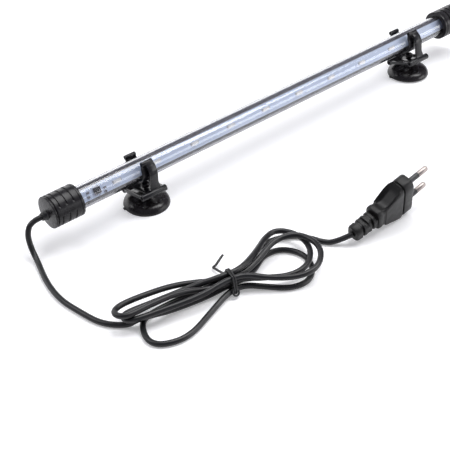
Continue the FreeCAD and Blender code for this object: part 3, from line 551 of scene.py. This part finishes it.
# %% Lights
LED_COUNT, FIRST_LED, LED_PITCH = 9, -142.75, 33.07
LED_CASE, LED_HEIGHT = Vector((5.7, 2.4, 0.9)), 3.45
WINDOW_BORDER, WINDOW_DEPTH, LED_EDGE = 0.35, 0.25, 0.08
BOARD_TILT = 62.0
SQUARE_CORNER = 1.2  # radians: only edges that turn by more than this are bevelled
bm = bmesh.new()
for i in range(LED_COUNT):
    made = bmesh.ops.create_cube(bm, size=1.0)["verts"]
    bmesh.ops.scale(bm, vec=LED_CASE * MM, verts=made)
    bmesh.ops.translate(bm, vec=Vector((FIRST_LED + LED_PITCH * i, 0, LED_HEIGHT)) * MM, verts=made)
    top = max({f for v in made for f in v.link_faces}, key=lambda f: f.calc_center_median().z)
    bmesh.ops.inset_region(bm, faces=[top], thickness=WINDOW_BORDER * MM)
    bmesh.ops.translate(bm, vec=(0, 0, -WINDOW_DEPTH * MM), verts=top.verts)
    top.material_index = 1
edges = [e for e in bm.edges if e.calc_face_angle(0) > SQUARE_CORNER]
bmesh.ops.bevel(bm, geom=edges, offset=LED_EDGE * MM, segments=2, profile=0.5, affect="EDGES", material=-1)
bmesh.ops.transform(bm, matrix=Matrix.Translation(AXIS) @ rotation(BOARD_TILT, "X"), verts=bm.verts)
finish_piece(bm, "white_lights", [led_case, led_gel], "lamp", ["leds"], 30)

# %% [markdown]
# ## The suction cups
# A cup is turned like a cap, but about Z: a thin rim, a domed skirt, a shoulder, and a neck with a knob
# that the clip's eye holds. A small pull tab stands out of the rim: a bevelled cube that sinks into it.

# %% Suction cups
# Radius and height, from the hollow underneath, round the rim, up the skirt and neck, to the top of the knob
CUP = [(0, 3.4), (3.0, 3.3), (6.0, 2.9), (9.0, 2.2), (12.0, 1.3), (14.5, 0.35), (14.9, 0), (16.0, 0),
       (16.25, 0.15), (16.3, 0.5), (16.2, 1.1), (15.9, 2.0), (15.3, 3.1), (14.4, 4.05), (13.3, 4.8),
       (12.0, 5.35), (10.4, 5.75), (8.8, 6.2), (7.0, 7.0), (5.3, 8.1), (4.0, 9.0), (3.0, 9.5), (1.9, 9.75),
       (1.65, 9.95), (1.6, 10.4), (1.6, 14.3), (1.75, 14.42), (2.8, 14.45), (3.08, 14.7), (3.2, 15.4),
       (3.1, 16.2), (2.7, 17.0), (1.8, 17.45), (0, 17.6)]
TAB, TAB_PLACE, TAB_EDGE, TAB_HEADING = Vector((2.6, 2.6, 1.0)), Vector((16.1, 0, 0.54)), 0.4, 167
PIVOT_HEIGHT = 12.4


def suction_cup(name, node, body, pivot, tilt):
    bm = bmesh.new()
    lathe(bm, [(z, r) for r, z in CUP], rotation(-90, "Y"), 96)
    tab = bmesh.ops.create_cube(bm, size=1.0)["verts"]
    bmesh.ops.scale(bm, vec=TAB * MM, verts=tab)
    bmesh.ops.translate(bm, vec=TAB_PLACE * MM, verts=tab)
    edges = list({e for v in tab for e in v.link_edges})
    bmesh.ops.bevel(bm, geom=edges, offset=TAB_EDGE * MM, segments=3, profile=0.5, affect="EDGES", material=-1)
    place = (Matrix.Translation(Vector(pivot) * MM) @ rotation(tilt, "X") @ rotation(TAB_HEADING, "Z")
             @ Matrix.Translation((0, 0, -PIVOT_HEIGHT * MM)))
    bmesh.ops.transform(bm, matrix=place, verts=bm.verts)
    finish_piece(bm, name, [cup_rubber], body, [node], 50)


suction_cup("left_cup_rubber", "left_suction_cup", "left_cup", (-120.45, 0.21, 12.4), 0)
suction_cup("right_cup_rubber", "right_suction_cup", "right_cup", (141.55, -1.592, 12.938), -1.9)

# %% [markdown]
# ## The clips
# The clip's solid already has the right shape, a cradle between two sprung legs on a frame of rods, but its
# edges are razor sharp. Modelling it anew would gain nothing, so a copy of its mesh is merged and its sharp
# edges are bevelled, to catch the light. Where curved faces meet, the solid has edges far shorter than the
# bevel. One of them would hold back the whole bevel, so nearly flat and tiny ones are dissolved first, and the
# bevel isn't clamped. The chip's case gets the same care.

# %% Soften a solid's edges
CLIP_EDGE, CHIP_EDGE = 0.1, 0.12
TOUCHING, NEARLY_FLAT, TINY_EDGE, SHARP_EDGE = 5e-6, 1.5, 4e-5, 32


def softened(name, node, material, body, width):
    bm = bmesh.new()
    bm.from_mesh(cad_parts[node].data)
    bmesh.ops.remove_doubles(bm, verts=bm.verts, dist=TOUCHING)
    bmesh.ops.dissolve_limit(bm, angle_limit=math.radians(NEARLY_FLAT), verts=bm.verts, edges=bm.edges)
    bmesh.ops.dissolve_degenerate(bm, dist=TINY_EDGE, edges=bm.edges)
    edges = [e for e in bm.edges if e.is_manifold and e.calc_face_angle(0) > math.radians(SHARP_EDGE)]
    bmesh.ops.bevel(bm, geom=edges, offset=width * MM, segments=2, profile=0.5, affect="EDGES",
                    material=-1, clamp_overlap=False)
    finish_piece(bm, name, [material], body, [node])


softened("left_clip_frame", "left_clip", clip_smoke, "left_holder", CLIP_EDGE)
softened("right_clip_frame", "right_clip", clip_smoke, "right_holder", CLIP_EDGE)
softened("chip_case", "driver_chip", chip_black, "lamp", CHIP_EDGE)

# %% [markdown]
# ## The plug
# The flat plug is drawn out from section to section, and a section only needs its height, thickness and
# corners. A subdivided cube would be softer to shape, but stations along the plug keep the measured sizes.
# Half way back the narrow sides are scooped out between two thin rims, which gives the fingers their hold.

# %% A section of the plug
STEPS = 96
QUARTER = STEPS // 4
THIRD = QUARTER // 3  # a quarter has as many steps on the broad face, the corner and the narrow side
RIM, SCOOP_STEEPNESS = 0.5, 1.5


def section_point(step, tall, thick, cut_y, cut_z, rise=0.0, scoop=0.0):
    """A point round a section: broad face, elliptical corner, narrow side, mirrored for each quarter."""
    quarter, k = divmod(step, QUARTER)
    if quarter % 2:
        k = QUARTER - k
    y_flat, z_flat = thick / 2 - cut_y, tall / 2 - cut_z
    if k <= THIRD:
        y, z = thick / 2, z_flat * k / THIRD
    elif k <= 2 * THIRD:
        turn = math.radians(90 / THIRD * (k - THIRD))
        y, z = y_flat + cut_y * math.cos(turn), z_flat + cut_z * math.sin(turn)
    else:
        y, z = y_flat * (QUARTER - k) / THIRD, tall / 2
    hollow = max(0.0, 1 - (y / (thick / 2 - RIM)) ** 2)
    z -= scoop * min(1.0, SCOOP_STEEPNESS * hollow)
    return Vector((0, -y if quarter in (1, 2) else y, (-z if quarter > 1 else z) + rise))


print("points round a section:", STEPS)

# %% [markdown]
# A grid of faces is now rolled up: its rows are the stations along the plug, and its columns go once round it.
# The grid brings all faces with it, so only its points have to be put in place. The seam is merged, and the two
# open ends are filled.

# %% Draw a body out along X
def drawn_out(bm, stations):
    """Stations hold the place along X, then what section_point takes."""
    last = len(stations) - 1
    spots = bmesh.ops.create_grid(bm, x_segments=last, y_segments=STEPS, size=1.0)["verts"]
    for spot in spots:
        x, *section = stations[round((spot.co.x + 1) / 2 * last)]
        step = round((spot.co.y + 1) / 2 * STEPS) % STEPS
        spot.co = (section_point(step, *section) + Vector((x, 0, 0))) * MM
    bmesh.ops.remove_doubles(bm, verts=spots, dist=SAME_SPOT)
    bmesh.ops.holes_fill(bm, edges=[e for e in bm.edges if e.is_boundary], sides=0)


print("bodies are drawn out towards the cord")

# %% [markdown]
# The plug's body has four parts: the flange round the face, a thin neck, the scooped grip, and a round collar.
# Their stations are named and joined into one list, so the body is one skin without a seam, as it was moulded.

# %% Plug body
# Along the plug from its face: height, thickness, corner across and up, rise of the centre, depth of the scoop
FLANGE = [(0.0, 31.2, 11.5, 3.8, 5.4), (-0.3, 32.2, 12.3, 4.2, 5.9), (-1.0, 32.8, 12.9, 4.4, 6.2),
          (-7.2, 32.8, 12.9, 4.4, 6.2), (-7.8, 32.5, 12.6, 4.3, 6.1), (-8.05, 31.8, 11.9, 4.0, 5.9)]
NECK = [(-8.1, 30.2, 10.7, 3.6, 5.6), (-9.2, 30.2, 10.7, 3.6, 5.6)]
GRIP = [(-9.25, 31.5, 11.9, 3.0, 6.0), (-9.55, 32.2, 12.5, 2.6, 6.0), (-10.2, 32.0, 12.7, 2.2, 5.4, 0, 0.8),
        (-11.2, 31.5, 12.8, 1.8, 4.6, 0, 2.2), (-12.6, 29.9, 12.8, 1.4, 3.6, 0.45, 3.4),
        (-14.5, 28.3, 12.8, 1.3, 3.0, 0.65, 4.2), (-16.5, 26.6, 12.8, 1.3, 2.6, 0.7, 4.6),
        (-19.0, 23.8, 12.7, 1.3, 2.4, 0.6, 4.4), (-21.5, 21.4, 12.5, 1.3, 2.4, 0.5, 3.8),
        (-23.5, 20.2, 12.3, 1.4, 2.6, 0.2, 3.0), (-25.2, 18.8, 12.1, 1.8, 3.0, 0.3, 2.0),
        (-25.6, 18.3, 11.2, 2.2, 3.2, 0.35, 1.6), (-26.8, 17.6, 11.0, 2.8, 3.8, 0.5, 0.7)]
COLLAR = [(-27.8, 17.2, 11.5, 3.3, 4.3, 0.7, 0.1), (-28.8, 17.4, 12.5, 3.7, 4.5, 0.9),
          (-30.2, 17.4, 12.8, 3.7, 4.5, 1.0), (-31.6, 17.0, 12.5, 3.7, 4.5, 1.1),
          (-32.1, 16.2, 11.8, 3.5, 4.3, 1.1), (-32.2, 15.0, 10.6, 3.3, 4.0, 1.1)]
to_plug = Matrix.Diagonal((MM, MM, MM, 1)) @ plug_place @ Matrix.Diagonal((1 / MM, 1 / MM, 1 / MM, 1))
bm = bmesh.new()
drawn_out(bm, FLANGE + NECK + GRIP + COLLAR)
bmesh.ops.transform(bm, matrix=to_plug, verts=bm.verts)
plug_shell = finish_piece(bm, "plug_shell", [plug_black], "lamp", ["plug_body"], 30)

# %% [markdown]
# The strain relief behind the plug is a soft sleeve with slots, so that it can bend. The slots alternate
# between the top and bottom and the two sides. In a slot the section shrinks in one direction only, which
# leaves a web. It is drawn out like the plug, because cutting slots with a boolean would leave ragged corners.

# %% Strain relief
SLOTS, SLOT_PITCH, SLOT_FRONT, SLOT_BACK = 4, 4.0, -31.8, -33.6
RELIEF_START, RELIEF_RUN = -32.2, -17.0
SLOT_LIP, SLOT_CORNER, LIP_CUT = 0.3, 0.02, 0.5
stations = [(-31.7, 11.6, 11.0, 3.8, 3.8, 1.0)]
for i in range(SLOTS):
    front, back = SLOT_FRONT - SLOT_PITCH * i, SLOT_BACK - SLOT_PITCH * i
    share = (front - RELIEF_START) / RELIEF_RUN
    tall, thick, rise = 11.6 - 0.2 * share, 11.0 - 1.1 * share, 1.0 + 0.6 * share
    skin = (tall, thick, 3.8, 3.8, rise)
    lip = (tall - LIP_CUT, thick - LIP_CUT, 3.7, 3.7, rise)
    flat_web, upright_web = (8.4, thick - LIP_CUT, 2.8, 1.4, rise), (tall - LIP_CUT, 5.4, 1.2, 2.4, rise)
    web = upright_web if i % 2 else flat_web
    if i:
        stations += [(front + SLOT_LIP, *skin), (front + SLOT_CORNER, *lip)]
    stations += [(front, *web), (back, *web), (back - SLOT_CORNER, *lip), (back - SLOT_LIP, *skin)]
stations += [(-49.2, 11.4, 9.9, 3.8, 3.8, 1.6), (-50.0, 10.8, 9.3, 3.7, 3.7, 1.6),
             (RELIEF_END.x, 9.8, 8.5, 3.5, 3.5, RELIEF_END.z)]
bm = bmesh.new()
drawn_out(bm, stations)
bmesh.ops.transform(bm, matrix=to_plug, verts=bm.verts)
relief = finish_piece(bm, "plug_strain_relief", [plug_black], "lamp", ["plug_body"], 30)

# %% [markdown]
# The two pins lean towards each other a little, so that they spring in a socket. Each wears a black sleeve on
# its root. Pins and sleeves are turned one by one and gathered in a mesh for each pair, since a pair is one
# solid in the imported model.

# %% Pins and sleeves
PIN = [(10.0, 0), (10.0, 1.95), (10.1, 2.0), (17.0, 2.0), (17.6, 1.93), (18.3, 1.6), (18.8, 1.0), (19.0, 0.4),
       (19.0, 0)]
SLEEVE = [(-0.5, 1.2), (-0.5, 2.0), (9.8, 2.0), (10.0, 1.8), (10.0, 1.2)]
GAP_AT_FACE, GAP_AT_TIPS, PIN_LENGTH = 18.6, 17.5, 19
lean = math.degrees(math.atan((GAP_AT_FACE - GAP_AT_TIPS) / 2 / PIN_LENGTH))
pins, sleeves = bmesh.new(), bmesh.new()
for pair, outline in ((pins, PIN), (sleeves, SLEEVE)):
    for side in (-1, 1):
        single = bmesh.new()
        local = Matrix.Translation((0, 0, side * GAP_AT_FACE / 2 * MM)) @ rotation(side * lean, "Y")
        lathe(single, outline, to_plug @ local, 48)
        carrier = bpy.data.meshes.new("carrier")
        single.to_mesh(carrier)
        single.free()
        pair.from_mesh(carrier)
        bpy.data.meshes.remove(carrier)
pin_pair = finish_piece(pins, "pin_pair", [pin_nickel], "lamp", ["plug_pins"], 40)
sleeve_pair = finish_piece(sleeves, "sleeve_pair", [sleeve_black], "lamp", ["pin_sleeves"], 40)

# %% [markdown]
# ## The gland
# The cord leaves the cap through a short soft boss that narrows in two steps. It is turned like the caps, with
# a hole for the cord, and sits a little off the tube's axis.

# %% Gland
GLAND_OFFSET = Vector((LEFT_END, 2.5, -3.2))
BORE = 1.7
boss = [(0, BORE), (0, 3.7), (-0.3, 3.25), (-0.9, 3.0), (-2.9, 2.7), (-3.4, 2.5), (-3.55, 2.2), (-3.55, BORE),
        (0, BORE)]
bm = bmesh.new()
lathe(bm, boss, Matrix.Translation(AXIS + GLAND_OFFSET * MM), 64)
finish_piece(bm, "cord_boss", [gland_rubber], "lamp", ["cord_gland"], 40)

# %% [markdown]
# ## The tie
# The bundle is held by a coated wire that goes round it twice and ends in a tail on one side and a small eye on
# the other. A wire pulled tight runs straight from strand to strand and bends only round the outer ones, so its
# points are set on small circles round those. Bezier points suit it better than NURBS, because the wire passes
# through them.

# %% Wire tie
TIE_RADIUS, TAIL_RADIUS = 0.65, 0.8
TIE_REACH = 2.65  # from a strand's middle to the middle of the wire
# Across and up to the strand that the wire passes, and the side on which it passes, in degrees
CORNERS = [(-9.2, 3.8, 190), (-9.2, 3.8, 230), (-8.8, 3.8, 270), (0.2, 3.8, 270), (0.7, 3.8, 320),
           (0.7, 3.8, 12), (-2.2, 11.5, 12), (-2.2, 11.5, 52), (-2.4, 11.4, 90), (-7.0, 11.5, 92),
           (-7.4, 11.5, 130), (-7.4, 11.5, 168)]
TAIL = [(-3.4, 1.8, 9.0), (-3.6, 5.6, 5.6), (-4.2, 11.0, 3.2), (-5.0, 15.4, 2.2), (-5.4, 17.2, 2.0),
        (-3.6, 17.8, 2.4), (-0.6, 19.6, 3.4), (4.2, 22.8, 4.4)]
EYE = [(-5.4, -11.5, 5.8), (-6.2, -12.9, 4.0), (-5.0, -13.8, 2.6), (-2.9, -13.4, 2.6), (-2.1, -12.1, 4.3),
       (-3.6, -11.5, 6.0)]


def round_the_bundle(along):
    """One turn of the wire round the outer strands."""
    turns = [(across, height, math.radians(side)) for across, height, side in CORNERS]
    return [(along, across + TIE_REACH * math.cos(side), height + TIE_REACH * math.sin(side))
            for across, height, side in turns]


def tie_wire(name, points, radius, closed):
    return add_curve(name, [bundle_place @ Vector(p) for p in points], radius, closed=closed, nurbs=False)


tie = tie_wire("wire_tie", round_the_bundle(-3.3), TIE_RADIUS, closed=True)
second_turn = tie_wire("wire_tie_turn", round_the_bundle(-4.7), TIE_RADIUS, closed=True)
tail = tie_wire("wire_tie_tail", TAIL, TAIL_RADIUS, closed=False)
eye = tie_wire("wire_tie_eye", EYE, TIE_RADIUS, closed=True)

# %% [markdown]
# Cord and tie get their finish and their place in the model.

# %% Cord and tie, their finish and place
for piece, material, solids, slot_name in (
        (mains_cord, cord_jacket, ["cord_lead_in", "cord_hank", "cord_lead_out"], "cord_jacket"),
        (tie, tie_coat, ["twist_tie"], "tie_wire"), (tail, tie_coat, ["twist_tie"], "tie_wire"),
        (second_turn, tie_coat, ["twist_tie"], "tie_wire"), (eye, tie_coat, ["twist_tie"], "tie_wire")):
    piece.data.materials.append(material)
    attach(piece, "lamp")
    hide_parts(*solids)
    print(f"{piece.name}: {material.name}")

# %% [markdown]
# ## Pieces that keep their solid
# The tray, board, solder and small parts already have their real shape, so they only get their finish.

# %% Finishes for the remaining solids
FINISHES = {"led_tray": tray_dark, "led_board": board_mask, "led_solder_joints": solder, "chip_legs": solder,
            "chip_resistors": resistor, "supply_wires": wire_white, "left_tube_seal": seal_rubber,
            "right_tube_seal": seal_rubber}
for node, material in FINISHES.items():
    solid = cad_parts[node]
    solid.data.materials.clear()
    solid.data.materials.append(material)
print("solids with a finish:", len(FINISHES))

# %% [markdown]
# ## Floor and backdrop
# The light lies on a wide white floor, and a white card stands behind it. More lamps would whiten the
# background too, but they would also wash out the blacks. So the floor takes shadows, and adds a little light
# of its own only where it is looked at: by the camera, by a reflection or through the clear tube. The card
# shines only in reflections, which draws a soft highlight along glossy black.

# %% A white sheet of the studio
STUDIO_WHITE = (0.86, 0.86, 0.88, 1)


def times(nodes, links, value, factor):
    node = nodes.new("ShaderNodeMath")
    node.operation = "MULTIPLY"
    links.new(value, node.inputs[0])
    node.inputs[1].default_value = factor
    return node.outputs[0]


def studio_sheet(name, place, finish_name, roughness, glow, *rays):
    """A flat white sheet that glows for these kinds of ray only."""
    material, nodes, links = new_material(finish_name)
    shader = nodes["Principled BSDF"]
    shader.inputs["Base Color"].default_value = STUDIO_WHITE
    shader.inputs["Roughness"].default_value = roughness
    shader.inputs["Emission Color"].default_value = (1, 1, 1, 1)
    links.new(times(nodes, links, ray_is(nodes, links, *rays), glow), shader.inputs["Emission Strength"])
    bm = bmesh.new()
    bmesh.ops.create_grid(bm, x_segments=1, y_segments=1, size=1.0)
    bmesh.ops.transform(bm, matrix=place, verts=bm.verts)
    mesh = bpy.data.meshes.new(name)
    bm.to_mesh(mesh)
    bm.free()
    mesh.materials.append(material)
    sheet = bpy.data.objects.new(name, mesh)
    scene.collection.objects.link(sheet)
    print(f"{name}: glows at {glow}")


print("studio white:", STUDIO_WHITE[:3])

# %% [markdown]
# The floor is laid flat at height nought, where the light lies. It could be curved up into the backdrop, as a
# real sweep is, but the light is looked at from all sides, and a flat floor is the same from each.

# %% Floor and backdrop
FLOOR_HALF, FLOOR_GLOW = 6.0, 0.28
CARD_PLACE, CARD_HALF_WIDTH, CARD_HALF_HEIGHT, CARD_GLOW = (0.4, 2.2, 0.7), 2.6, 0.7, 2.0
studio_sheet("floor", Matrix.Diagonal((FLOOR_HALF, FLOOR_HALF, 1, 1)), "floor_white", 0.6, FLOOR_GLOW,
             "Is Camera Ray", "Is Glossy Ray", "Is Transmission Ray")
studio_sheet("backdrop", Matrix.Translation(CARD_PLACE) @ rotation(90, "X")
             @ Matrix.Diagonal((CARD_HALF_WIDTH, CARD_HALF_HEIGHT, 1, 1)), "card_white", 0.5, CARD_GLOW,
             "Is Glossy Ray")

# %% [markdown]
# ## Sky
# The world fills the shadows with a little cool light. The camera, and the clear tube, see it at full strength,
# as the same pale background. Gloss sees a part of it, since the full sky would turn the black pieces grey.

# %% Sky
SKY_COLOUR = (0.86, 0.85, 1.0, 1)
SKY_FILL, SKY_SEEN, SKY_IN_GLOSS = 0.14, 1.0, 0.25
world = bpy.data.worlds.new("studio")
scene.world = world
world.use_nodes = True
nodes, links = world.node_tree.nodes, world.node_tree.links
background = nodes["Background"]
background.inputs["Color"].default_value = SKY_COLOUR
straight = ray_is(nodes, links, "Is Camera Ray", "Is Transmission Ray")
mirrored = times(nodes, links, ray_is(nodes, links, "Is Glossy Ray"), SKY_IN_GLOSS)
sky_strength = nodes.new("ShaderNodeMapRange")
sky_strength.inputs["To Min"].default_value = SKY_FILL
sky_strength.inputs["To Max"].default_value = SKY_SEEN
links.new(larger(nodes, links, straight, mirrored), sky_strength.inputs["Value"])
links.new(sky_strength.outputs["Result"], background.inputs["Strength"])
print("sky fills the shadows at", SKY_FILL)

# %% [markdown]
# ## Lamps
# Four soft boxes light the piece as in a small studio: the key from above, one on each side, and a low card of
# light far to the right that runs a highlight along rods and cord. Area lamps give soft shadows, and each one
# is aimed by the line from its place to its aim.

# %% Lamps
def soft_box(name, place, aim, wide, tall, power):
    """Place, aim and size are in metres, and power in watts."""
    lamp = bpy.data.lights.new(name, "AREA")
    lamp.shape = "RECTANGLE"
    lamp.size, lamp.size_y, lamp.energy = wide, tall, power
    holder = bpy.data.objects.new(name, lamp)
    scene.collection.objects.link(holder)
    facing = (Vector(aim) - Vector(place)).to_track_quat("-Z", "Y").to_matrix().to_4x4()
    holder.matrix_world = Matrix.Translation(place) @ facing
    print(f"{name}: {power} W")


MIDDLE = (0, -0.05, 0)
soft_box("key", (0.30, 0.05, 1.40), MIDDLE, wide=1.0, tall=0.7, power=15)
soft_box("left_box", (-0.85, 0.55, 1.10), MIDDLE, wide=0.8, tall=0.6, power=8)
soft_box("right_box", (0.72, -0.46, 1.18), MIDDLE, wide=0.45, tall=0.45, power=6)
soft_box("low_card", (1.25, -1.5, 0.45), (0.05, 0, 0.02), wide=1.3, tall=0.7, power=13)
scene.view_settings.view_transform = "Standard"
